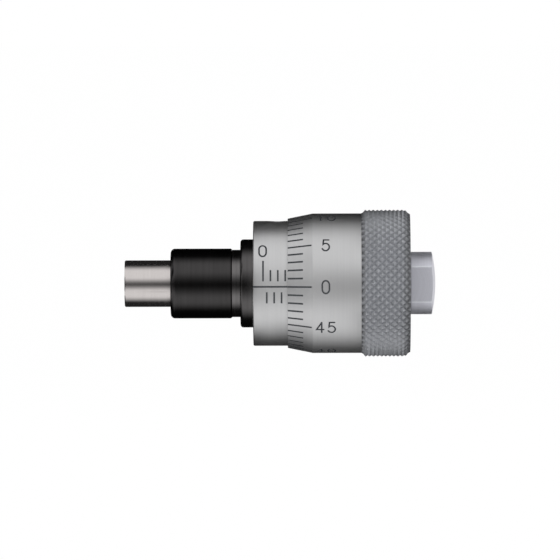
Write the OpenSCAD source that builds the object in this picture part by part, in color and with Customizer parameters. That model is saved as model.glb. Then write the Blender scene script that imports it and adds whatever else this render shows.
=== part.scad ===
// Micrometer head with a plain clamping stem, a graduated sleeve, a bevelled thimble and a knurled grip.
// All sizes are in millimetres. The spindle lies along X and points to -X, and Z is up.
// The origin is on the spindle axis in the front face of the flange, and the index line faces -Y.

/* [Mounting stem] */
// Diameter of the plain stem that a bracket clamps
stem_d = 9.5; // [8.5:0.1:12]
// Length of the stem in front of the flange
stem_len = 9.5; // [6:0.1:20]
// Radius on the front edge of the stem
nose_r = 0.6; // [0.3:0.05:0.9]
// Depth of the relief groove beside the flange
relief_depth = 0.17; // [0.16:0.01:0.3]
// Width of the relief groove beside the flange
relief_w = 1.3; // [0.8:0.1:2]
// Depth of the undercut in the flange face
relief_face = 0.1; // [0.05:0.01:0.2]
// Height of the undercut in the flange face over the stem
relief_rim = 0.12; // [0.05:0.01:0.2]

/* [Flange] */
// Height of the flange over the stem
flange_rim = 1.25; // [0.8:0.05:2]
// Thickness of the flange
flange_t = 1.75; // [1.2:0.05:3]
// Radius on the front edge of the flange
flange_r = 0.4; // [0.2:0.05:0.6]

/* [Spindle] */
// Diameter of the ground spindle
spindle_d = 6.35; // [5:0.05:6.8]
// Reach of the measuring face in front of the stem at reading zero
spindle_reach = 9.25; // [7:0.05:15]
// Chamfer round the measuring face
face_chamfer = 0.12; // [0.05:0.01:0.3]
// Clearance of the spindle in its guide, on the radius
guide_gap = 0.015; // [0.01:0.005:0.05]

/* [Feed screw] */
// Travel of the spindle
travel = 6.5; // [5:0.5:10]
// Reading in the pose that is drawn
reading = 3; // [0:0.5:5]
// Height of the feed screw over the ground spindle
screw_rise = 0.325; // [0.2:0.025:0.5]
// Clearance of the feed screw in the split nut, on the radius
screw_gap = 0.02; // [0.01:0.005:0.05]
// Length of the split nut inside the stem body
nut_len = 11; // [9:0.5:14]
// Wall of the split nut at its rear end
nut_wall = 0.7; // [0.5:0.05:0.9]
// Rise of the split nut's taper over the length of the adjusting nut
taper_rise = 0.3; // [0.1:0.05:0.4]
// Slots that split the nut
slot_n = 3; // [2:1:4]
// Width of each slot
slot_w = 0.5; // [0.3:0.05:0.8]
// Length of each slot
slot_len = 5.8; // [4:0.1:7]
// Play left at the inner stop at reading zero
stop_gap = 0.5; // [0.3:0.05:1]

/* [Adjusting nut] */
// Thickness of the adjusting nut along the axis
ring_t = 3; // [2:0.1:3.4]
// Wall of the adjusting nut at its front end
ring_wall = 1.4; // [1:0.05:1.8]
// Distance of the adjusting nut from the rear end of the split nut
ring_inset = 0.4; // [0.2:0.05:0.6]
// Width of the two spanner notches
notch_w = 1.4; // [0.8:0.1:2]
// Depth of the two spanner notches
notch_depth = 0.9; // [0.5:0.1:1.5]

/* [Sleeve] */
// Diameter of the graduated sleeve
sleeve_d = 17; // [16.5:0.1:20]
// Thickness of the sleeve's front wall
sleeve_web = 5; // [4.8:0.1:5.4]
// Wall of the sleeve's skirt
sleeve_wall = 1.3; // [0.8:0.1:1.6]
// Height of the stem body's seat for the sleeve over the stem
seat_rim = 0.6; // [0.4:0.05:0.7]
// Chamfer on the sleeve's edges
sleeve_chamfer = 0.12; // [0.05:0.01:0.3]
// Length of sleeve that stays covered at full travel
sleeve_cover = 1.8; // [1:0.1:3]
// Distance from the sleeve's front to the zero mark
zero_x = 1.45; // [1:0.05:2.5]
// Diameter of the spanner hole
hole_d = 2.6; // [1.8:0.1:2.8]
// Distance from the sleeve's front to the spanner hole
hole_x = 3.3; // [2.6:0.05:3.4]
// Depth of the spanner hole
hole_depth = 1.9; // [1:0.1:2.2]

/* [Thimble] */
// Gap between sleeve and thimble, on the radius
thimble_gap = 0.1; // [0.05:0.01:0.2]
// Thickness of the thimble's front edge
edge_t = 0.2; // [0.15:0.01:0.3]
// Distance of the thimble's edge behind the mark that it reads
edge_lag = 0.23; // [0.1:0.01:0.4]
// Length of the bevel
bevel_len = 3.4; // [2.5:0.1:4]
// Rise of the bevel
bevel_rise = 0.7; // [0.5:0.05:1]
// Length of the split nut behind the sleeve
tail_len = 2; // [1.5:0.1:3]
// Thickness of the thimble's end wall
end_wall = 5.85; // [5:0.05:7]
// Length of the plain bore behind the spindle's taper seat
seat_land = 1.2; // [0.8:0.1:1.6]
// Fall of the spindle's taper seat in the end wall, on the radius
seat_fall = 0.5; // [0.3:0.05:0.7]

/* [Knurled grip] */
// Length of the grip
knurl_len = 6.65; // [5:0.05:7]
// Height of the crests over the thimble
knurl_rise = 0.5; // [0.4:0.05:0.8]
// Depth of the knurl
knurl_depth = 0.3; // [0.2:0.01:0.36]
// Diamonds round the grip
knurl_n = 56; // [36:1:64]
// Rows of diamonds along the grip, counted in half steps
knurl_rows = 12; // [8:2:14]
// Wall of the thimble under the grip
grip_wall = 0.4; // [0.3:0.05:0.5]
// Fall of the grip's rear edge under the thimble
rear_fall = 0.1; // [0:0.05:0.2]

/* [Lock washer] */
// Outside diameter of the lock washer
washer_d = 7.6; // [6.5:0.1:7.7]
// Thickness of the lock washer
washer_t = 0.5; // [0.3:0.05:0.8]
// Height of the lock washer over the thimble's rear face
washer_proud = 0.1; // [0.05:0.01:0.2]
// Clearance round the lock washer, on the radius
washer_gap = 0.1; // [0.05:0.01:0.2]

/* [Cap nut] */
// Diameter of the cap nut
cap_d = 8.5; // [8.2:0.1:10]
// Length of the cap nut up to its dome
cap_len = 2.86; // [2:0.02:5]
// Height of the dome
dome_h = 0.47; // [0.3:0.01:1]
// Width across the two wrench flats
cap_flats = 7; // [6:0.1:7.5]
// Chamfer under the cap nut's rim
cap_chamfer = 0.15; // [0.05:0.01:0.3]
// Diameter of the cap nut's threaded stud
stud_d = 3.5; // [3:0.1:4]
// Length of the stud inside the spindle
stud_grip = 3; // [2:0.1:3.2]

/* [Hidden] */
$fn = 96;
// Overlap that keeps cutting shapes clear of the faces they cut
cut = 0.2;
stem_r = stem_d / 2;
flange_rad = stem_r + flange_rim;
hub_r = stem_r + seat_rim;
spindle_r = spindle_d / 2;
guide_r = spindle_r + guide_gap;
screw_r = spindle_r + screw_rise;
thread_r = screw_r + screw_gap;
sleeve_r = sleeve_d / 2;
skirt_r = sleeve_r - sleeve_wall;
bore_r = sleeve_r + thimble_gap;
edge_r = bore_r + edge_t;
thimble_r = edge_r + bevel_rise;
grip_r = bore_r + grip_wall;
crest_r = thimble_r + knurl_rise;
root_r = crest_r - knurl_depth;
rear_r = thimble_r - rear_fall;
tail_r = thread_r + nut_wall;
taper_r = tail_r + taper_rise;
ring_r = taper_r + ring_wall;
// Positions along the axis in the drawn pose
nose_x = -stem_len;
tip_x = nose_x - spindle_reach + reading;
web_x = flange_t + sleeve_web;
edge_x = flange_t + zero_x + edge_lag + reading;
sleeve_x = edge_x - reading + travel + sleeve_cover;
tail_x = sleeve_x + tail_len;
guide_x = tail_x - nut_len;
screw_x = guide_x + reading + stop_gap;
cup_x = tail_x + reading + stop_gap;
rear_x = cup_x + end_wall;
grip_x = rear_x - knurl_len;
pocket_x = rear_x - washer_t + washer_proud;
seat_x = pocket_x - seat_land;
seat_r = screw_r - seat_fall;
cap_x = rear_x + washer_proud;
dome_x = cap_x + cap_len;
apex_x = dome_x + dome_h;
dome_r = (pow(cap_d / 2, 2) + pow(dome_h, 2)) / (2 * dome_h);
stud_x = seat_x - stud_grip;
ring_x = tail_x - ring_inset;
stud_r = stud_d / 2;

// Turns what is drawn along Z so that it lies along X
module along_x() {
  rotate([0, 90, 0]) children();
}

// A solid of revolution about the spindle axis from points given as radius and position
module turned(points) {
  along_x() rotate_extrude() polygon(points);
}

// The corner to remove so that a front edge gets a quarter-round
module front_round(r, x, round_r) {
  difference() {
    translate([r - round_r, x - cut]) square([round_r + cut, round_r + cut]);
    translate([r - round_r, x + round_r]) circle(round_r);
  }
}

// Black inner part: stem, flange, seat for the sleeve and the split nut of the feed screw
module stem_body() {
  color([0.11, 0.11, 0.12])
  difference() {
    along_x() rotate_extrude() difference() {
      polygon([
        [guide_r, nose_x],
        [stem_r, nose_x],
        [stem_r, -relief_w],
        [stem_r - relief_depth, -relief_w + relief_depth],
        [stem_r - relief_depth, relief_face],
        [stem_r + relief_rim, relief_face],
        [stem_r + relief_rim, 0],
        [flange_rad, 0],
        [flange_rad, flange_t],
        [hub_r, flange_t],
        [hub_r, web_x],
        [taper_r, web_x],
        [taper_r, ring_x - ring_t],
        [tail_r, ring_x],
        [tail_r, tail_x],
        [thread_r, tail_x],
        [thread_r, guide_x],
        [guide_r, guide_x]
      ]);
      front_round(stem_r, nose_x, nose_r);
      front_round(flange_rad, 0, flange_r);
    }
    for (i = [0 : slot_n - 1])
      rotate([i * 360 / slot_n + 90, 0, 0])
        translate([tail_x - slot_len, -slot_w / 2, 0])
          cube([slot_len + cut, slot_w, taper_r + cut]);
  }
}

// Graduated drum that turns on its seat with a spanner to set zero
module graduated_sleeve() {
  color([0.72, 0.72, 0.73])
  difference() {
    turned([
      [hub_r, flange_t],
      [sleeve_r - sleeve_chamfer, flange_t],
      [sleeve_r, flange_t + sleeve_chamfer],
      [sleeve_r, sleeve_x - sleeve_chamfer],
      [sleeve_r - sleeve_chamfer, sleeve_x],
      [skirt_r, sleeve_x],
      [skirt_r, web_x],
      [hub_r, web_x]
    ]);
    translate([flange_t + hole_x, 0, sleeve_r - hole_depth]) cylinder(d = hole_d, h = hole_depth + cut);
  }
}

// Taper nut that closes the split nut on the feed screw
module adjusting_nut() {
  color([0.5, 0.5, 0.52])
  difference() {
    turned([
      [taper_r, ring_x - ring_t],
      [ring_r, ring_x - ring_t],
      [ring_r, ring_x],
      [tail_r, ring_x]
    ]);
    for (side = [-1, 1])
      translate([ring_x - notch_depth, -notch_w / 2, side > 0 ? taper_r : -ring_r - cut])
        cube([notch_depth + cut, notch_w, ring_r + cut - taper_r]);
  }
}

// Ground spindle with the feed screw and the taper seat for the thimble in one piece
module spindle() {
  color([0.78, 0.76, 0.75])
  turned([
    [0, tip_x],
    [spindle_r - face_chamfer, tip_x],
    [spindle_r, tip_x + face_chamfer],
    [spindle_r, screw_x],
    [screw_r, screw_x + screw_rise],
    [screw_r, cup_x],
    [seat_r, seat_x],
    [stud_r, seat_x],
    [stud_r, stud_x],
    [0, stud_x]
  ]);
}

// Bevelled drum that carries the divisions, seated on the spindle's taper
module thimble() {
  color([0.72, 0.72, 0.73])
  turned([
    [bore_r, edge_x],
    [edge_r, edge_x],
    [thimble_r, edge_x + bevel_len],
    [thimble_r, grip_x],
    [grip_r, grip_x],
    [grip_r, rear_x],
    [washer_d / 2 + washer_gap, rear_x],
    [washer_d / 2 + washer_gap, pocket_x],
    [seat_r, pocket_x],
    [seat_r, seat_x],
    [screw_r, cup_x],
    [bore_r, cup_x]
  ]);
}

// Radius of the grip's surface at a column and row of the knurl, whose crests and pits alternate
function knurl_r(i, j) =
  j == 0 ? thimble_r :
  j == knurl_rows ? rear_r :
  (i + j) % 2 == 0 ? crest_r : root_r;

// Blank of the grip: pyramids between crossing grooves outside, a narrow hole inside
module knurl_blank() {
  cols = 2 * knurl_n;
  step = knurl_len / knurl_rows;
  hole_r = grip_r - 2 * knurl_depth;
  inner = cols * (knurl_rows + 1);
  outside = [
    for (j = [0 : knurl_rows])
      for (i = [0 : cols - 1])
        let (a = i * 360 / cols, r = knurl_r(i, j))
          [r * cos(a), r * sin(a), j * step]
  ];
  inside = [
    for (j = [0, knurl_rows])
      for (i = [0 : cols - 1])
        let (a = i * 360 / cols)
          [hole_r * cos(a), hole_r * sin(a), j * step]
  ];
  skin = [
    for (j = [0 : knurl_rows - 1])
      for (i = [0 : cols - 1])
        let (k = (i + 1) % cols, p = j * cols + i, q = j * cols + k)
          for (f = (i + j) % 2 == 0
            ? [[p, p + cols, q], [q, p + cols, q + cols]]
            : [[p, p + cols, q + cols], [p, q + cols, q]])
            f
  ];
  ends = [
    for (i = [0 : cols - 1])
      let (k = (i + 1) % cols, top = knurl_rows * cols)
        for (f = [
          [i, k, inner + k],
          [i, inner + k, inner + i],
          [top + i, inner + cols + i, inner + cols + k],
          [top + i, inner + cols + k, top + k],
          [inner + i, inner + k, inner + cols + k],
          [inner + i, inner + cols + k, inner + cols + i]
        ])
          f
  ];
  polyhedron(points = concat(outside, inside), faces = concat(skin, ends));
}

// Diamond-knurled ring pressed on the rear of the thimble
module knurled_grip() {
  color([0.5, 0.51, 0.53])
  along_x() translate([0, 0, grip_x]) difference() {
    knurl_blank();
    translate([0, 0, -cut]) cylinder(r = grip_r, h = knurl_len + 2 * cut);
  }
}

// Washer that keeps the cap nut tight, sunk in the thimble's rear face
module lock_washer() {
  color([0.6, 0.6, 0.6])
  turned([
    [stud_r + washer_gap, pocket_x],
    [washer_d / 2, pocket_x],
    [washer_d / 2, cap_x],
    [stud_r + washer_gap, cap_x]
  ]);
}

// Domed nut with two wrench flats, whose stud draws the thimble on to the spindle's taper
module cap_nut() {
  color([0.64, 0.65, 0.68])
  union() {
    difference() {
      intersection() {
        turned([
          [0, cap_x],
          [cap_d / 2 - cap_chamfer, cap_x],
          [cap_d / 2, cap_x + cap_chamfer],
          [cap_d / 2, apex_x + cut],
          [0, apex_x + cut]
        ]);
        translate([apex_x - dome_r, 0, 0]) sphere(r = dome_r);
      }
      for (side = [-1, 1])
        translate([cap_x - cut, side > 0 ? cap_flats / 2 : -cap_d, -cap_d])
          cube([cap_len + dome_h + 2 * cut, cap_d - cap_flats / 2, 2 * cap_d]);
    }
    turned([
      [0, stud_x],
      [stud_r, stud_x],
      [stud_r, cap_x + cut],
      [0, cap_x + cut]
    ]);
  }
}

stem_body();
graduated_sleeve();
adjusting_nut();
spindle();
thimble();
knurled_grip();
lock_washer();
cap_nut();
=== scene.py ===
import math

import bmesh
import bpy
from mathutils import Euler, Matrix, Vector


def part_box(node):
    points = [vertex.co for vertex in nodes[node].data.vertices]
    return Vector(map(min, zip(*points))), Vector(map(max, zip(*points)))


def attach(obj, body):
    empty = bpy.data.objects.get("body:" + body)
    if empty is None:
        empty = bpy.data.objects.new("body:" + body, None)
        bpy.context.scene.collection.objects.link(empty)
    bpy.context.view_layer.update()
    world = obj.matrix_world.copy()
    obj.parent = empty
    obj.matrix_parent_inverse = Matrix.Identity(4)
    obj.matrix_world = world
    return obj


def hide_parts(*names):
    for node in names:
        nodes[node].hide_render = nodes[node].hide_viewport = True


# Looks of the micrometer head: finishes, graduations, numerals, a fine knurl and a soft-edged cap nut.
# Everything is in metres in the frame of the solids: the axis is X, Z is up and the index line faces -Y.
MM = 0.001

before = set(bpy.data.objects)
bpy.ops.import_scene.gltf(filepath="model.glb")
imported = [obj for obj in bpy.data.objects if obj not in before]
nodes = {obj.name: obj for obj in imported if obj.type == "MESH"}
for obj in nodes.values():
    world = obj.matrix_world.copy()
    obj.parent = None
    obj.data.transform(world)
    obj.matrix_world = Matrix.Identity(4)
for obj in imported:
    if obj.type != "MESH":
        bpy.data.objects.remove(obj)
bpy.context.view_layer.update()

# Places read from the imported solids
sleeve_low, sleeve_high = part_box("graduated_sleeve")
thimble_low, thimble_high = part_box("thimble")
grip_low, grip_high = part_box("knurled_grip")
nut_low, nut_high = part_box("cap_nut")
washer_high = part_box("lock_washer")[1]
SLEEVE_R = sleeve_high.y
SLEEVE_FRONT = sleeve_low.x
SLEEVE_REAR = sleeve_high.x
THIMBLE_R = thimble_high.y
THIMBLE_EDGE = thimble_low.x
GRIP_LEN = grip_high.x - grip_low.x
CREST_R = grip_high.y
NUT_R = nut_high.z
NUT_FLAT = nut_high.y
NUT_SEAT = washer_high.x
NUT_EDGE = math.acos(NUT_FLAT / NUT_R)

# Sizes that the solids have
SLEEVE_CHAMFER = 0.12 * MM
BEVEL_LEN = 3.4 * MM
BEVEL_RISE = 0.7 * MM
KNURL_COLUMNS = 112
KNURL_ROWS = 12
REAR_FALL = 0.1 * MM
DOME_H = 0.47 * MM
STUD_R = 1.75 * MM

# Fine knurl: steps to a row and to a column, depth, blunt tips, end chamfers where the grooves run out, and
# the bore below the thimble's surface with its rear chamfer
KNURL_FINE = 4
KNURL_DEPTH = 0.36 * MM
TIP_SHARE = 0.96
FRONT_CHAMFER = 0.5 * MM
REAR_CHAMFER = 0.72 * MM
RUN_OUT = 0.35
BORE_DEPTH = 0.5 * MM
SEAM = 0.12 * MM

# Painted shade on the knurl, kept as a point attribute that darkens the chrome in the grooves and at the
# ends:
# the tone where it is full, its share in the grooves away from the ends, and how much each end adds, with
# the length over which that fades
PAINTED_SHADE_ATTRIBUTE = "groove"
GROOVE_SHADE_TONE = 0.35
GROOVE_SHADE_MIDDLE = 0.12
FRONT_PAINTED_SHADE = 0.25
FRONT_SHADE = 0.5 * MM
REAR_PAINTED_SHADE = 0.45
REAR_SHADE = 1.05 * MM

# Soft cap nut: chamfer at its seat, round of its rim, and soft edges where a flat meets the round
NUT_CHAMFER = 0.05 * MM
RIM_R = 0.12 * MM
EDGE_SOFT = 0.035 * MM
LEAST_COSINE = 0.05
SMOOTH_ANGLE = math.radians(40)

# Steps round the nut: on a flat, within some degrees of its edge, and over the round from some degrees on
FLAT_STEPS = 6
EDGE_NEAR = 2
EDGE_STEPS = 8
ROUND_START = 3
ROUND_STEPS = 10

# Steps along the nut, and where it takes a lighter tone as a painted highlight: near the edges from one row
# of faces on, and on the rows of the rim
RIM_STEPS = 5
DOME_STEPS = 8
SIDE_ROW = 3
RIM_ROWS = (6, 10)
EDGE_ANGLE = math.radians(1.2)

# Graduations: the sleeve counts millimetres above the index line and half millimetres below it
PITCH = 0.5 * MM
ZERO_X = SLEEVE_FRONT + 1.37 * MM
SLEEVE_TICKS = 15
SLEEVE_VALUES = (0, 5)
INDEX_W = 0.24 * MM
INDEX_START = 0.01 * MM
INDEX_STOP = 0.6 * MM
TICK_W = 0.23 * MM
TICK_START = 0.74 * MM
TICK_LEN = 1.54 * MM
LONG_TICK_LEN = 2.84 * MM
LONG_TICK_EVERY = 10
SLEEVE_NUMERAL_RISE = 5.07 * MM
SLEEVE_NUMERAL_SHIFT = -0.06 * MM
SLEEVE_NUMERAL_H = 1.9 * MM
DIVISIONS = 50
LONG_EVERY = 5
LINE_W = 0.235 * MM
LINE_START = 0.02 * MM
SHORT_LINE = 2.09 * MM
LONG_LINE = 3.26 * MM
NUMERAL_X = THIMBLE_EDGE + 5.17 * MM
NUMERAL_H = 1.95 * MM
NUMERAL_W = 1.19 * MM
NUMERAL_STROKE = 0.22 * MM
NUMERAL_GAP = 0.37 * MM

# Marks are paint in a shallow groove, so a patch stands a hair over the metal and reaches into it. The
# second stroke of a numeral stands over its first.
PAINT_PROUD = 0.006 * MM
PAINT_LAYER = 0.002 * MM
PAINT_DEEP = 0.03 * MM
STROKE_STEP = 0.2 * MM
STROKE_CORNERS = 4
MITRE_LIMIT = 0.45
CAP_ANGLES = (20, 55)
ARC_STEP = 12

# Noise: its detail, and the range that most of its values lie in
NOISE_DETAIL = 3.0
NOISE_LOW = 0.3
NOISE_HIGH = 0.7

# Turned finish: rings of slightly varying tone, clearer on the end faces
RING_DRIFT = 0.02
RING_SCALE = 4200
FACE_DRIFT = 0.003
FACE_SCALE = 2400
FACE_SHARE = 0.1
LAPPED_SHARE = 0.02
METAL_BUMP = 0.35

# Metals: tone and roughness, each with the share it varies by, a grain that lies in rings or has no
# direction, the tint at the rim, and the share by which rings darken the end faces
METALS = {
    "satin_chrome": {
        "tone": (0.58, 0.58, 0.585), "tone_share": 0.02, "rough": 0.4, "rough_share": 0.12,
        "rings": False, "scale": 9000, "relief": 0.004 * MM, "glance": 0.2, "face_share": FACE_SHARE,
    },
    "knurled_chrome": {
        "tone": (0.57, 0.582, 0.612), "tone_share": 0.06, "rough": 0.64, "rough_share": 0.2,
        "rings": False, "scale": 6000, "relief": 0.006 * MM, "glance": 0.25, "face_share": FACE_SHARE,
    },
    "nut_chrome": {
        "tone": (0.68, 0.685, 0.745), "tone_share": 0.03, "rough": 0.5, "rough_share": 0.2,
        "rings": False, "scale": 7000, "relief": 0.003 * MM, "glance": 1.0, "face_share": FACE_SHARE,
    },
    # lighter tone for the nut's edges and rim: a painted highlight
    "nut_highlight": {
        "tone": (0.74, 0.75, 0.8), "tone_share": 0.03, "rough": 0.42, "rough_share": 0.2,
        "rings": False, "scale": 7000, "relief": 0.002 * MM, "glance": 1.0, "face_share": FACE_SHARE,
    },
    "ground_steel": {
        "tone": (0.6, 0.565, 0.555), "tone_share": 0.03, "rough": 0.17, "rough_share": 0.2,
        "rings": True, "scale": 15000, "relief": 0.001 * MM, "glance": 1.0, "face_share": LAPPED_SHARE,
    },
    "plain_steel": {
        "tone": (0.4, 0.4, 0.41), "tone_share": 0.08, "rough": 0.32, "rough_share": 0.25,
        "rings": True, "scale": 6000, "relief": 0.004 * MM, "glance": 1.0, "face_share": FACE_SHARE,
    },
    "black_steel": {
        "tone": (0.15, 0.144, 0.145), "tone_share": 0.1, "rough": 0.21, "rough_share": 0.2,
        "rings": True, "scale": 2600, "relief": 0.001 * MM, "glance": 0.4, "face_share": FACE_SHARE,
    },
}

# Black oxide by place along the axis: shares of its tone on the stem and the flange, and the relief groove
STEM_SHARE = 0.36
FLANGE_SHARE = 0.66
RELIEF_W = 1.3 * MM
BLACK_SPAN = 20 * MM

# Matt paint in the marks
PAINT_TONES = ((0.02, 0.021, 0.023), (0.032, 0.034, 0.037))
PAINT_ROUGH = (0.5, 0.7)
PAINT_SPECULAR = 0.02
PAINT_SCALE = 5000
PAINT_RELIEF = 0.003 * MM
PAINT_BUMP = 0.3

# Tone of white, and the sockets of a colour mix
WHITE = (1, 1, 1)
MIX_FIRST = 6
MIX_SECOND = 7
MIX_RESULT = 2

# Camera, in the photograph's place
VIEW_AZIMUTH = 0.3
VIEW_ELEVATION = 3.15
VIEW_ROLL = 0.15
VIEW_DISTANCE = 1000 * MM
VIEW_TARGET = Vector((5.37 * MM, 0, 0.455 * MM))
LENS = 472.0
CLIP_RANGE = (0.01, 100)

# World and floor
WORLD_FILL = 0.05
FLOOR_Z = -60 * MM
FLOOR_SIZE = 8
FLOOR_GREY = 0.85
FLOOR_GLOW = 0.997

# Cards that only reflections see. Front cards stand ahead of the object and are darkest along their middle.
# Level cards lie above and below it and turn black on their way back. The side card and the back card are
# black all over, and the white cards stand close behind the object and beyond the nut.
BLACK_LEVEL = 0.02
FRONT_CARDS = {
    "spindle_card": {"x": (-0.06, -0.0097), "y": -0.013, "z": 0, "half": 0.0076, "level": 0.11},
    "stem_card": {"x": (-0.0097, 0.0018), "y": -0.013, "z": 0, "half": 0.0105, "level": 0.06},
    "bevel_card": {"x": (-0.014, 0.0), "y": -0.035, "z": -0.006, "half": 0.03, "level": 0.32},
    "sleeve_card": {"x": (0.0018, 0.0066), "y": -0.035, "z": 0, "half": 0.026, "level": 0.9},
    "drum_card": {"x": (0.0066, 0.06), "y": -0.035, "z": -0.002, "half": 0.027, "level": 0.41},
}
LEVEL_CARDS = {
    "spindle_upper_flag": {
        "x": (-0.06, -0.0097), "y": (-0.0135, 0.08), "z": 0.03, "fade": 0.02, "start": 1,
    },
    "spindle_lower_flag": {
        "x": (-0.06, -0.0097), "y": (-0.0185, 0.08), "z": -0.03, "fade": 0.024, "start": 1,
    },
    "stem_upper_flag": {
        "x": (-0.0097, 0.0024), "y": (-0.0088, 0.05), "z": 0.014, "fade": 0.009, "start": 1,
    },
    "stem_lower_flag": {
        "x": (-0.0097, 0.0028), "y": (-0.0112, 0.05), "z": -0.014, "fade": 0.0102, "start": 1,
    },
    "drum_upper_flag": {
        "x": (0.0062, 0.0173), "y": (-0.0099, 0.05), "z": 0.0145, "fade": 0.0129, "start": 1,
    },
    "bevel_lower_flag": {
        "x": (0.0046, 0.0078), "y": (-0.0105, 0.05), "z": -0.0145, "fade": 0.012, "start": 0.7,
    },
    "grip_upper_flag": {
        "x": (0.0173, 0.0236), "y": (-0.0135, 0.012), "z": 0.014, "fade": 0.009, "start": 0.7,
    },
    "grip_lower_flag": {
        "x": (0.0173, 0.0236), "y": (-0.023, 0.012), "z": -0.014, "fade": 0.012, "start": 0.3,
    },
    "mat": {
        "x": (-0.12, 0.3), "y": (-0.028, 0.9), "z": FLOOR_Z + 0.002, "fade": 0.065, "start": 1,
    },
}
SIDE_CARD = {"x": -0.2, "y": (-0.3, 0.02), "high": 0.3}
BACK_CARD = {"x": (-0.12, 0.3), "y": 0.08, "high": 0.32}
WHITE_CARDS = {
    "end_light": {"x": (0.029, 0.12), "y": 0.04, "half": 0.03},
    "drum_light": {"x": (0.002, 0.0225), "y": 0.018, "half": 0.0085},
    "stem_light": {"x": (-0.0095, 0.0), "y": 0.012, "half": 0.0045},
    "spindle_light": {"x": (-0.0155, -0.0097), "y": 0.01, "half": 0.003},
}

# Soft lamps for the paint and the floor, with their power in watts
LAMPS = {
    "key_lamp": {"place": (-0.1, -0.6, 0.0), "size": 0.4, "power": 11.5},
    "fill_lamp": {"place": (0.35, -0.3, 0.15), "size": 0.5, "power": 0.4},
    "rear_lamp": {"place": (0.1, 0.45, 0.3), "size": 0.5, "power": 3.0},
}


def add_object(name, mesh, material):
    """A new object with a mesh and its material."""
    mesh.materials.append(material)
    obj = bpy.data.objects.new(name, mesh)
    bpy.context.scene.collection.objects.link(obj)
    return obj


def join_faces(name, verts, faces, material):
    """A new mesh object with outward normals."""
    mesh = bpy.data.meshes.new(name)
    mesh.from_pydata(verts, [], faces)
    work = bmesh.new()
    work.from_mesh(mesh)
    bmesh.ops.recalc_face_normals(work, faces=work.faces)
    work.to_mesh(mesh)
    work.free()
    return add_object(name, mesh, material)


# Materials


def new_material(name):
    """A material with its Principled shader, ready for more nodes."""
    material = bpy.data.materials.new(name)
    material.use_nodes = True
    tree = material.node_tree
    return material, tree, tree.nodes["Principled BSDF"]


def vector_math(tree, operation, first, second=None, fixed=None):
    """One step of vector arithmetic on a socket, with another socket or with fixed numbers."""
    node = tree.nodes.new("ShaderNodeVectorMath")
    node.operation = operation
    tree.links.new(first, node.inputs[0])
    if second is not None:
        tree.links.new(second, node.inputs[1])
    if fixed is not None:
        node.inputs[1].default_value = fixed
    return node.outputs["Value" if operation == "LENGTH" else "Vector"]


def noise_at(tree, vector, scale):
    """Noise of a scale at a place."""
    noise = tree.nodes.new("ShaderNodeTexNoise")
    noise.inputs["Scale"].default_value = scale
    noise.inputs["Detail"].default_value = NOISE_DETAIL
    tree.links.new(vector, noise.inputs["Vector"])
    return noise.outputs["Fac"]


def grain_noise(tree, scale):
    """Noise without a direction."""
    place = tree.nodes.new("ShaderNodeTexCoord").outputs["Object"]
    return noise_at(tree, place, scale)


def ring_noise(tree, scale, drift=RING_DRIFT):
    """Noise in rings round the axis, on the drums as on their end faces, as a lathe leaves them."""
    place = tree.nodes.new("ShaderNodeTexCoord").outputs["Object"]
    off_axis = vector_math(tree, "MULTIPLY", place, fixed=(0, 1, 1))
    join = tree.nodes.new("ShaderNodeCombineXYZ")
    tree.links.new(vector_math(tree, "LENGTH", off_axis), join.inputs["X"])
    slow = vector_math(tree, "MULTIPLY", place, fixed=(1, drift, drift))
    return noise_at(tree, vector_math(tree, "ADD", slow, join.outputs["Vector"]), scale)


def end_face_share(tree):
    """1 on faces across the axis and 0 on faces along it."""
    normal = tree.nodes.new("ShaderNodeTexCoord").outputs["Normal"]
    return vector_math(tree, "LENGTH", vector_math(tree, "MULTIPLY", normal, fixed=(1, 0, 0)))


def ramp(tree, value, low, high, low_at=NOISE_LOW, high_at=NOISE_HIGH):
    """Colours from low to high as value goes from low_at to high_at."""
    node = tree.nodes.new("ShaderNodeValToRGB")
    node.color_ramp.elements[0].position = low_at
    node.color_ramp.elements[0].color = (*low, 1)
    node.color_ramp.elements[1].position = high_at
    node.color_ramp.elements[1].color = (*high, 1)
    tree.links.new(value, node.inputs["Fac"])
    return node.outputs["Color"]


def spread(tree, noise, low, high):
    """A number from low to high over the range of a noise."""
    node = tree.nodes.new("ShaderNodeMapRange")
    node.inputs["From Min"].default_value = NOISE_LOW
    node.inputs["From Max"].default_value = NOISE_HIGH
    node.inputs["To Min"].default_value = low
    node.inputs["To Max"].default_value = high
    tree.links.new(noise, node.inputs["Value"])
    return node.outputs["Result"]


def bump(tree, shader, heights, distance, strength):
    """Fine relief on a shader from one noise."""
    node = tree.nodes.new("ShaderNodeBump")
    node.inputs["Distance"].default_value = distance
    node.inputs["Strength"].default_value = strength
    tree.links.new(heights, node.inputs["Height"])
    tree.links.new(node.outputs["Normal"], shader.inputs["Normal"])


def shade(tone, factor):
    """A tone made lighter or darker."""
    return tuple(min(1.0, c * factor) for c in tone)


def multiply(tree, shader, factor, share=None):
    """Multiply a shader's tone by a colour, all over or by a share."""
    node = tree.nodes.new("ShaderNodeMix")
    node.data_type = "RGBA"
    node.blend_type = "MULTIPLY"
    node.inputs["Factor"].default_value = 1.0
    if share is not None:
        tree.links.new(share, node.inputs["Factor"])
    tree.links.new(shader.inputs["Base Color"].links[0].from_socket, node.inputs[MIX_FIRST])
    tree.links.new(factor, node.inputs[MIX_SECOND])
    tree.links.new(node.outputs[MIX_RESULT], shader.inputs["Base Color"])


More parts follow.
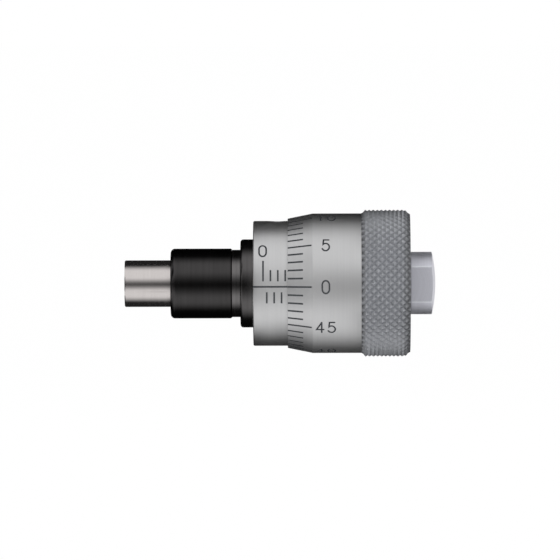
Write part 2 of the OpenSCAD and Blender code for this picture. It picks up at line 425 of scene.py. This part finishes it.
def metal(name):
    """A metal finish: rings of slightly varying tone round the axis, a fine grain and turned end faces."""
    finish = METALS[name]
    material, tree, shader = new_material(name)
    shader.inputs["Metallic"].default_value = 1.0
    shader.inputs["Specular Tint"].default_value = (*shade(WHITE, finish["glance"]), 1)
    rings = ring_noise(tree, RING_SCALE)
    grain = ring_noise(tree, finish["scale"]) if finish["rings"] else grain_noise(tree, finish["scale"])
    tone, change = finish["tone"], finish["tone_share"]
    colour = ramp(tree, rings, shade(tone, 1 - change), shade(tone, 1 + change))
    tree.links.new(colour, shader.inputs["Base Color"])
    rough, change = finish["rough"], finish["rough_share"]
    roughness = spread(tree, grain, rough * (1 - change), rough * (1 + change))
    tree.links.new(roughness, shader.inputs["Roughness"])
    bump(tree, shader, grain, finish["relief"], METAL_BUMP)
    face_rings = ring_noise(tree, FACE_SCALE, FACE_DRIFT)
    turned = ramp(tree, face_rings, shade(WHITE, 1 - finish["face_share"]), WHITE)
    multiply(tree, shader, turned, end_face_share(tree))
    return material, tree, shader


def knurled_chrome():
    """Chrome on the cut faces of the knurl, with painted shade from the knurl's attribute in its grooves
    and at its ends.
    """
    material, tree, shader = metal("knurled_chrome")
    groove = tree.nodes.new("ShaderNodeAttribute")
    groove.attribute_name = PAINTED_SHADE_ATTRIBUTE
    # painted shade: the attribute darkens the chrome's tone in the grooves and at the ends
    multiply(tree, shader, ramp(tree, groove.outputs["Fac"], WHITE, shade(WHITE, GROOVE_SHADE_TONE), 0, 1))
    return material


def black_steel():
    """Black oxide: deep on the stem, thinner on the flange and thinnest in the relief groove."""
    material, tree, shader = metal("black_steel")
    place = tree.nodes.new("ShaderNodeTexCoord")
    split = tree.nodes.new("ShaderNodeSeparateXYZ")
    tree.links.new(place.outputs["Object"], split.inputs["Vector"])
    along = tree.nodes.new("ShaderNodeMapRange")
    along.inputs["From Min"].default_value = -BLACK_SPAN
    along.inputs["From Max"].default_value = BLACK_SPAN
    tree.links.new(split.outputs["X"], along.inputs["Value"])
    thin = tree.nodes.new("ShaderNodeValToRGB")
    thin.color_ramp.interpolation = "CONSTANT"
    stops = thin.color_ramp.elements
    flange_at = 0.5
    stops[0].color = (*shade(WHITE, STEM_SHARE), 1)
    stops[1].position = flange_at - RELIEF_W / BLACK_SPAN / 2
    stops[1].color = (*WHITE, 1)
    stops.new(flange_at).color = (*shade(WHITE, FLANGE_SHARE), 1)
    tree.links.new(along.outputs["Result"], thin.inputs["Fac"])
    multiply(tree, shader, thin.outputs["Color"])
    return material


def mark_paint():
    """Black paint that fills the engraved marks."""
    material, tree, shader = new_material("mark_paint")
    speckle = grain_noise(tree, PAINT_SCALE)
    tree.links.new(ramp(tree, speckle, *PAINT_TONES), shader.inputs["Base Color"])
    tree.links.new(spread(tree, speckle, *PAINT_ROUGH), shader.inputs["Roughness"])
    shader.inputs["Specular IOR Level"].default_value = PAINT_SPECULAR
    bump(tree, shader, speckle, PAINT_RELIEF, PAINT_BUMP)
    return material


# Marks on the drums


def sleeve_radius(x):
    """Radius of the sleeve, with its front chamfer."""
    return SLEEVE_R - max(0.0, SLEEVE_FRONT + SLEEVE_CHAMFER - x)


def thimble_radius(x):
    """Radius of the thimble, with its bevel."""
    along = min(1.0, (x - THIMBLE_EDGE) / BEVEL_LEN)
    return THIMBLE_R - BEVEL_RISE * (1 - along)


def arc(cx, cy, rx, ry, start, end):
    """Points of an elliptical arc, angles in degrees."""
    steps = max(2, math.ceil(abs(end - start) / ARC_STEP))
    angles = [math.radians(start + (end - start) * k / steps) for k in range(steps + 1)]
    return [(cx + rx * math.cos(a), cy + ry * math.sin(a)) for a in angles]


# Strokes of the numerals in a box that is 1 wide and 1 high: (points, whether the stroke is a closed loop)
NUMERALS = {
    "0": [(arc(0.5, 0.66, 0.5, 0.34, 180, 0) + arc(0.5, 0.34, 0.5, 0.34, 0, -180), True)],
    "1": [([(0.2, 0.8), (0.6, 1), (0.6, 0)], False)],
    "2": [(arc(0.5, 0.71, 0.48, 0.29, 170, -32) + [(0, 0), (1, 0)], False)],
    "3": [
        (arc(0.48, 0.765, 0.44, 0.235, 155, -90), False),
        (arc(0.48, 0.265, 0.52, 0.265, 90, -155), False),
    ],
    "4": [([(0.72, 1), (0, 0.3), (1, 0.3)], False), ([(0.72, 1), (0.72, 0)], False)],
    "5": [([(0.92, 1), (0.2, 1), (0.12, 0.55)] + arc(0.48, 0.33, 0.52, 0.33, 128, -152), False)],
}


def resample(points, closed):
    """The same path with steps short enough to follow a drum."""
    ends = points[1:] + points[:1] if closed else points[1:]
    path = []
    for start, end in zip(points, ends):
        start, end = Vector(start), Vector(end)
        steps = max(1, math.ceil((end - start).length / STROKE_STEP))
        path += [start.lerp(end, k / steps) for k in range(steps)]
    return path if closed else path + [Vector(points[-1])]


def cap_row(end, away, way, width, angle):
    """One row of a round end, at an angle from the stroke's own direction."""
    angle = math.radians(angle)
    middle = end + away * (width / 2 * math.cos(angle))
    side = Vector((-away.y, away.x)) * (way * width / 2 * math.sin(angle))
    return middle + side, middle - side


def stroke_rows(points, width, closed, round_ends):
    """Left and right edge of a stroke of constant width along a path."""
    path = resample(points, closed)
    count = len(path)
    rows = []
    for k, p in enumerate(path):
        before = path[k - 1] if closed or k > 0 else None
        after = path[(k + 1) % count] if closed or k < count - 1 else None
        into = (p - before).normalized() if before is not None else (after - p).normalized()
        out = (after - p).normalized() if after is not None else into
        mean = (into + out).normalized()
        half = width / 2 / max(MITRE_LIMIT, mean.dot(into))
        side = Vector((-mean.y, mean.x)) * half
        rows.append((p + side, p - side))
    if closed or not round_ends:
        return rows
    first = (path[1] - path[0]).normalized()
    last = (path[-1] - path[-2]).normalized()
    return (
        [cap_row(path[0], -first, -1, width, a) for a in CAP_ANGLES]
        + rows
        + [cap_row(path[-1], last, 1, width, a) for a in reversed(CAP_ANGLES)]
    )


class Marks:
    """Paint patches on a drum, gathered into one mesh."""

    def __init__(self, radius_at):
        self.radius_at = radius_at
        self.verts = []
        self.faces = []

    def point(self, flat, centre, lift):
        """A point of (x, arc length from the centre angle) on the drum, lifted off it."""
        radius = self.radius_at(flat.x)
        angle = centre + flat.y / radius
        radius += lift
        return (flat.x, -radius * math.cos(angle), radius * math.sin(angle))

    def stroke(self, points, width, centre=0.0, closed=False, round_ends=True, proud=PAINT_PROUD):
        """A closed solid along a path of (x, arc length from the centre angle)."""
        rows = stroke_rows(points, width, closed, round_ends)
        count, base = len(rows), len(self.verts)
        for left, right in rows:
            corners = ((left, proud), (right, proud), (right, -PAINT_DEEP), (left, -PAINT_DEEP))
            self.verts += [self.point(flat, centre, lift) for flat, lift in corners]
        for k in range(count if closed else count - 1):
            a = base + STROKE_CORNERS * k
            b = base + STROKE_CORNERS * ((k + 1) % count)
            for side in range(STROKE_CORNERS):
                turn = (side + 1) % STROKE_CORNERS
                self.faces.append((a + side, a + turn, b + turn, b + side))
        if not closed:
            last = base + STROKE_CORNERS * (count - 1)
            self.faces.append(tuple(range(base, base + STROKE_CORNERS)))
            self.faces.append(tuple(reversed(range(last, last + STROKE_CORNERS))))

    def number(self, text, x, centre, rise, height):
        """Numerals that read along X, centred at x and at a rise over the centre angle."""
        inner_w, inner_h = NUMERAL_W - NUMERAL_STROKE, height - NUMERAL_STROKE
        pitch = NUMERAL_W + NUMERAL_GAP
        first = x - (len(text) - 1) * pitch / 2 - inner_w / 2
        for place, digit in enumerate(text):
            left = first + place * pitch
            for layer, (points, closed) in enumerate(NUMERALS[digit]):
                path = [(left + u * inner_w, rise + (v - 0.5) * inner_h) for u, v in points]
                if closed:
                    path = path[:-1]
                proud = PAINT_PROUD + layer * PAINT_LAYER
                self.stroke(path, NUMERAL_STROKE, centre, closed, proud=proud)

    def piece(self, name, material, body):
        """The patches as one piece that rides on a body."""
        obj = join_faces(name, self.verts, self.faces, material)
        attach(obj, body)


def sleeve_marks(material):
    """Index line with millimetre ticks above it and half-millimetre ticks below it, and their numerals."""
    lines = Marks(sleeve_radius)
    bend = SLEEVE_FRONT + SLEEVE_CHAMFER
    index = [(SLEEVE_FRONT + INDEX_START, 0), (bend, 0), (SLEEVE_REAR - INDEX_STOP, 0)]
    lines.stroke(index, INDEX_W, round_ends=False)
    for k in range(SLEEVE_TICKS):
        x = ZERO_X + k * PITCH
        way = 1 if k % 2 == 0 else -1
        length = LONG_TICK_LEN if k % LONG_TICK_EVERY == 0 else TICK_LEN
        lines.stroke([(x, way * TICK_START), (x, way * (TICK_START + length))], TICK_W, round_ends=False)
    numerals = Marks(sleeve_radius)
    for value in SLEEVE_VALUES:
        x = ZERO_X + value * MM + SLEEVE_NUMERAL_SHIFT
        numerals.number(str(value), x, 0, SLEEVE_NUMERAL_RISE, SLEEVE_NUMERAL_H)
    lines.piece("sleeve_marks", material, "stem")
    numerals.piece("sleeve_numerals", material, "stem")


def thimble_marks(material):
    """Fifty division lines on the bevel, with a numeral at every fifth."""
    lines = Marks(thimble_radius)
    numerals = Marks(thimble_radius)
    for k in range(DIVISIONS):
        angle = 2 * math.pi * k / DIVISIONS
        long_line = k % LONG_EVERY == 0
        end = THIMBLE_EDGE + (LONG_LINE if long_line else SHORT_LINE)
        lines.stroke([(THIMBLE_EDGE + LINE_START, 0), (end, 0)], LINE_W, angle, round_ends=False)
        if long_line:
            numerals.number(str(k), NUMERAL_X, angle, 0, NUMERAL_H)
    lines.piece("thimble_marks", material, "thimble")
    numerals.piece("thimble_numerals", material, "thimble")


# Knurled grip


def ridge(value):
    """1 on the even numbers and 0 on the odd ones, straight between them."""
    return abs(value % 2 - 1)


def groove_share(column, row):
    """0 on the blunt tips of the pyramids and 1 at the bottom of the grooves between them."""
    height = min(ridge(column + row), ridge(column - row))
    return 1 - min(1.0, height / TIP_SHARE)


def end_shares(x, front, rear):
    """How far x is from the two ends of the ring: 0 at an end, 1 past the length given for that end."""
    return min(1.0, x / front), min(1.0, (GRIP_LEN - x) / rear)


def knurl_radius(column, row, x):
    """Radius of the grip: blunt pyramids between crossing grooves that run out over the chamfers."""
    front, rear = end_shares(x, FRONT_CHAMFER, REAR_CHAMFER)
    front_fall = (CREST_R - THIMBLE_R) * (1 - front)
    rear_fall = (CREST_R - THIMBLE_R + REAR_FALL) * (1 - rear)
    depth = KNURL_DEPTH * (RUN_OUT + (1 - RUN_OUT) * min(front, rear))
    return CREST_R - max(front_fall, rear_fall) - depth * groove_share(column, row)


def groove_dark(column, row, x):
    """Painted shade on the grip: least on the tips, more in the grooves and most at the ends."""
    front, rear = end_shares(x, FRONT_SHADE, REAR_SHADE)
    in_groove = groove_share(column, row) * (1 - (1 - GROOVE_SHADE_MIDDLE) * min(front, rear))
    return in_groove + FRONT_PAINTED_SHADE * (1 - front) + REAR_PAINTED_SHADE * math.sqrt(1 - rear)


def knurled_grip(material):
    """Ring with a fine diamond knurl, closed by its end faces and its bore."""
    columns, rows = KNURL_COLUMNS * KNURL_FINE, KNURL_ROWS * KNURL_FINE
    bore = THIMBLE_R - BORE_DEPTH
    verts, faces, grooves = [], [], []

    def ring(x, radii):
        for i, r in enumerate(radii):
            a = 2 * math.pi * i / columns
            verts.append((grip_low.x + x, -r * math.cos(a), r * math.sin(a)))

    for j in range(rows + 1):
        x = GRIP_LEN * j / rows
        ring(x, [knurl_radius(i / KNURL_FINE, j / KNURL_FINE, x) for i in range(columns)])
        # painted shade for each point, darker in the grooves and at the ends
        grooves += [groove_dark(i / KNURL_FINE, j / KNURL_FINE, x) for i in range(columns)]
    for x, r in ((GRIP_LEN, bore + SEAM), (GRIP_LEN - SEAM, bore), (0, bore)):
        ring(x, [r] * columns)
        grooves += [0.0] * columns
    count = len(verts) // columns
    for j in range(count):
        for i in range(columns):
            k, above = (i + 1) % columns, (j + 1) % count
            a, b = j * columns + i, j * columns + k
            c, d = above * columns + k, above * columns + i
            if j >= rows:
                faces.append((a, b, c, d))
            elif (i // KNURL_FINE + j // KNURL_FINE) % 2 == 0:
                faces += [(a, b, d), (b, c, d)]
            else:
                faces += [(a, b, c), (a, c, d)]
    obj = join_faces("fine_knurl", verts, faces, material)
    # the painted shade rides on the mesh as a point attribute
    obj.data.attributes.new(PAINTED_SHADE_ATTRIBUTE, "FLOAT", "POINT").data.foreach_set("value", grooves)
    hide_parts("knurled_grip")
    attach(obj, "thimble")


# Cap nut


def nut_angles():
    """Angles from the -Y flat round the nut, close together where a flat meets the round."""
    edge = math.degrees(NUT_EDGE)
    rest = 90 - ROUND_START - edge
    quarter = (
        [edge * k / FLAT_STEPS for k in range(FLAT_STEPS)]
        + [edge - EDGE_NEAR + 2 * EDGE_NEAR * k / EDGE_STEPS for k in range(EDGE_STEPS + 1)]
        + [edge + ROUND_START + rest * k / ROUND_STEPS for k in range(ROUND_STEPS)]
    )
    half = quarter + [90] + [180 - a for a in reversed(quarter) if a > 0]
    return [math.radians(a + turn) for turn in (0, 180) for a in half]


def nut_outline(angle):
    """Radius of the nut at an angle: the smaller of round and flat, with a soft edge."""
    flat = NUT_FLAT / max(LEAST_COSINE, abs(math.cos(angle)))
    lower = min(flat, NUT_R)
    both = math.exp((lower - flat) / EDGE_SOFT) + math.exp((lower - NUT_R) / EDGE_SOFT)
    return lower - EDGE_SOFT * math.log(both)


def cap_nut(material, highlight_material):
    """Domed nut with two milled flats, soft edges with a painted highlight along them and on its rim, and
    its hidden stud.
    """
    apex = nut_high.x
    dome_r = (NUT_R**2 + DOME_H**2) / (2 * DOME_H)

    def dome_x(radius):
        return apex - dome_r + math.sqrt(dome_r**2 - radius**2)

    def profile(outline):
        lean = math.degrees(math.asin(outline / dome_r))
        top_r = outline - RIM_R
        turns = [math.radians((90 - lean) * k / RIM_STEPS) for k in range(RIM_STEPS + 1)]
        meet = top_r + RIM_R * math.cos(turns[-1])
        rim_x = dome_x(meet) - RIM_R * math.sin(turns[-1])
        points = [
            (nut_low.x, STUD_R),
            (NUT_SEAT, STUD_R),
            (NUT_SEAT, outline - NUT_CHAMFER),
            (NUT_SEAT + NUT_CHAMFER, outline),
            ((NUT_SEAT + rim_x) / 2, outline),
        ]
        points += [(rim_x + RIM_R * math.sin(t), top_r + RIM_R * math.cos(t)) for t in turns]
        inner = [meet * (1 - k / DOME_STEPS) for k in range(1, DOME_STEPS)]
        return points + [(dome_x(r), r) for r in inner]

    angles = nut_angles()
    sections = [profile(nut_outline(a)) for a in angles]
    rows, columns = len(sections[0]), len(angles)
    verts, faces, painted_highlight = [], [], []
    for j in range(rows):
        for a, section in zip(angles, sections):
            x, r = section[j]
            verts.append((x, -r * math.cos(a), r * math.sin(a)))
    for j in range(rows - 1):
        for i in range(columns):
            a, b = j * columns + i, j * columns + (i + 1) % columns
            faces.append((a, b, b + columns, a + columns))
    # faces near the edges between flat and round, and on the rim, get the lighter finish as a painted
    # highlight
    for j in range(SIDE_ROW, RIM_ROWS[1]):
        for i, a in enumerate(angles):
            near_edge = abs(math.acos(min(1.0, abs(math.cos(a)))) - NUT_EDGE) < EDGE_ANGLE
            if near_edge or j >= RIM_ROWS[0]:
                painted_highlight.append(j * columns + i)
    for x, row in ((nut_low.x, 0), (apex, rows - 1)):
        centre, first = len(verts), row * columns
        verts.append((x, 0, 0))
        faces += [(centre, first + i, first + (i + 1) % columns) for i in range(columns)]
    obj = join_faces("soft_cap_nut", verts, faces, material)
    obj.data.shade_smooth()
    obj.data.set_sharp_from_angle(angle=SMOOTH_ANGLE)
    obj.data.materials.append(highlight_material)
    for index in painted_highlight:
        obj.data.polygons[index].material_index = 1
    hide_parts("cap_nut")
    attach(obj, "thimble")


# Studio


def light_path_share(tree):
    """1 for rays from the camera and rays that metal or glass sends on, 0 for the rest."""
    rays = tree.nodes.new("ShaderNodeLightPath")
    either = rays.outputs["Is Camera Ray"]
    for kind in ("Is Glossy Ray", "Is Transmission Ray"):
        node = tree.nodes.new("ShaderNodeMath")
        node.operation = "MAXIMUM"
        tree.links.new(either, node.inputs[0])
        tree.links.new(rays.outputs[kind], node.inputs[1])
        either = node.outputs["Value"]
    return either


def white_world():
    """White all round for the camera and for reflections, and a faint even fill for the rest."""
    world = bpy.data.worlds.new("studio")
    world.use_nodes = True
    bpy.context.scene.world = world
    tree = world.node_tree
    tree.nodes.clear()
    seen = tree.nodes.new("ShaderNodeBackground")
    seen.inputs["Color"].default_value = (*WHITE, 1)
    seen.inputs["Strength"].default_value = 1.0
    lit = tree.nodes.new("ShaderNodeBackground")
    lit.inputs["Color"].default_value = (*WHITE, 1)
    lit.inputs["Strength"].default_value = WORLD_FILL
    mix = tree.nodes.new("ShaderNodeMixShader")
    out = tree.nodes.new("ShaderNodeOutputWorld")
    tree.links.new(light_path_share(tree), mix.inputs["Fac"])
    tree.links.new(lit.outputs["Background"], mix.inputs[1])
    tree.links.new(seen.outputs["Background"], mix.inputs[2])
    tree.links.new(mix.outputs["Shader"], out.inputs["Surface"])


def bare_material(name):
    """A material with an empty node tree and its output."""
    material = bpy.data.materials.new(name)
    material.use_nodes = True
    tree = material.node_tree
    tree.nodes.clear()
    return material, tree, tree.nodes.new("ShaderNodeOutputMaterial")


def sheet(name, corners, material):
    """A flat stage piece from four corners."""
    mesh = bpy.data.meshes.new(name)
    mesh.from_pydata(corners, [], [(0, 1, 2, 3)])
    obj = add_object(name, mesh, material)
    return obj


def pale_floor():
    """Pale floor that the camera and reflections see nearly white, with a faint trace of matt grey."""
    material, tree, out = bare_material("pale_floor")
    matt = tree.nodes.new("ShaderNodeBsdfDiffuse")
    matt.inputs["Color"].default_value = (*shade(WHITE, FLOOR_GREY), 1)
    glow = tree.nodes.new("ShaderNodeEmission")
    glow.inputs["Color"].default_value = (*WHITE, 1)
    glow.inputs["Strength"].default_value = 1.0
    share = tree.nodes.new("ShaderNodeMath")
    share.operation = "MULTIPLY"
    share.inputs[1].default_value = FLOOR_GLOW
    mix = tree.nodes.new("ShaderNodeMixShader")
    tree.links.new(light_path_share(tree), share.inputs[0])
    tree.links.new(share.outputs["Value"], mix.inputs["Fac"])
    tree.links.new(matt.outputs["BSDF"], mix.inputs[1])
    tree.links.new(glow.outputs["Emission"], mix.inputs[2])
    tree.links.new(mix.outputs["Shader"], out.inputs["Surface"])
    s = FLOOR_SIZE / 2
    sheet("floor", [(-s, -s, FLOOR_Z), (s, -s, FLOOR_Z), (s, s, FLOOR_Z), (-s, s, FLOOR_Z)], material)


def card(name, corners, axis, stops):
    """A card that only reflections see. stops give its brightness by share of its length along one axis."""
    material, tree, out = bare_material(name)
    place = tree.nodes.new("ShaderNodeTexCoord")
    split = tree.nodes.new("ShaderNodeSeparateXYZ")
    grade = tree.nodes.new("ShaderNodeValToRGB")
    grade.color_ramp.interpolation = "EASE"
    marks = grade.color_ramp.elements
    marks.remove(marks[1])
    for k, (position, level) in enumerate(stops):
        mark = marks[0] if k == 0 else marks.new(position)
        mark.position = position
        mark.color = (*shade(WHITE, level), 1)
    glow = tree.nodes.new("ShaderNodeEmission")
    glow.inputs["Strength"].default_value = 1.0
    tree.links.new(place.outputs["Generated"], split.inputs["Vector"])
    tree.links.new(split.outputs[axis], grade.inputs["Fac"])
    tree.links.new(grade.outputs["Color"], glow.inputs["Color"])
    tree.links.new(glow.outputs["Emission"], out.inputs["Surface"])
    piece = sheet(name, corners, material)
    piece.visible_camera = False
    piece.visible_diffuse = False
    piece.visible_shadow = False
    piece.visible_volume_scatter = False


def across(x, low, high):
    """Corners of a card across the object, between (y, z) of two of its edges."""
    return [(x[0], *low), (x[1], *low), (x[1], *high), (x[0], *high)]


def front_card(name, place):
    """A card ahead of the object, dark along its middle and white at its upper and lower edge."""
    y, z, half = place["y"], place["z"], place["half"]
    stops = [(0, 1), (0.5, place["level"]), (1, 1)]
    card(name, across(place["x"], (y, z - half), (y, z + half)), "Z", stops)


def level_card(name, place):
    """A level card that turns black on its way back."""
    near, far = place["y"]
    stops = [(0, place["start"]), (place["fade"] / (far - near), BLACK_LEVEL)]
    card(name, across(place["x"], (near, place["z"]), (far, place["z"])), "Y", stops)


def soft_lamp(name, place, size, power):
    """A soft lamp that looks at the object and isn't mirrored in it."""
    data = bpy.data.lights.new(name, "AREA")
    data.shape = "SQUARE"
    data.size = size
    data.energy = power
    lamp = bpy.data.objects.new(name, data)
    lamp.location = place
    lamp.rotation_euler = (-Vector(place)).to_track_quat("-Z", "Y").to_euler()
    lamp.visible_glossy = False
    bpy.context.scene.collection.objects.link(lamp)


def studio():
    """World, floor, cards and lamps."""
    white_world()
    pale_floor()
    for name, place in FRONT_CARDS.items():
        front_card(name, place)
    for name, place in LEVEL_CARDS.items():
        level_card(name, place)
    x, high = SIDE_CARD["x"], SIDE_CARD["high"]
    near, far = SIDE_CARD["y"]
    corners = [(x, near, FLOOR_Z), (x, far, FLOOR_Z), (x, far, high), (x, near, high)]
    card("side_card", corners, "Z", [(0, BLACK_LEVEL)])
    y = BACK_CARD["y"]
    corners = across(BACK_CARD["x"], (y, FLOOR_Z), (y, BACK_CARD["high"]))
    card("back_card", corners, "Z", [(0, BLACK_LEVEL)])
    for name, place in WHITE_CARDS.items():
        y, half = place["y"], place["half"]
        card(name, across(place["x"], (y, -half), (y, half)), "Z", [(0, 1)])
    for name, lamp in LAMPS.items():
        soft_lamp(name, lamp["place"], lamp["size"], lamp["power"])


def photo_camera():
    """Camera in the photograph's place, turned a little about its own axis."""
    data = bpy.data.cameras.new("camera")
    data.lens = LENS
    data.clip_start, data.clip_end = CLIP_RANGE
    camera = bpy.data.objects.new("camera", data)
    a, e = math.radians(VIEW_AZIMUTH), math.radians(VIEW_ELEVATION)
    back = Vector((math.sin(a) * math.cos(e), -math.cos(a) * math.cos(e), math.sin(e)))
    camera.location = VIEW_TARGET + back * VIEW_DISTANCE
    aim = (-back).to_track_quat("-Z", "Y")
    camera.rotation_mode = "QUATERNION"
    camera.rotation_quaternion = aim @ Euler((0, 0, math.radians(-VIEW_ROLL))).to_quaternion()
    bpy.context.scene.collection.objects.link(camera)
    bpy.context.scene.camera = camera


def dress():
    """Finishes on the solids and the pieces that stand for or lie on them."""
    chrome = metal("satin_chrome")[0]
    paint = mark_paint()
    steel = metal("plain_steel")[0]
    finishes = {
        "stem_body": black_steel(),
        "graduated_sleeve": chrome,
        "thimble": chrome,
        "spindle": metal("ground_steel")[0],
        "adjusting_nut": steel,
        "lock_washer": steel,
    }
    for name, material in finishes.items():
        nodes[name].data.materials.clear()
        nodes[name].data.materials.append(material)
    sleeve_marks(paint)
    thimble_marks(paint)
    knurled_grip(knurled_chrome())
    # the nut's second finish is a painted highlight on its edges and rim
    cap_nut(metal("nut_chrome")[0], metal("nut_highlight")[0])


dress()
studio()
photo_camera()
bpy.context.scene.view_settings.view_transform = "Standard"
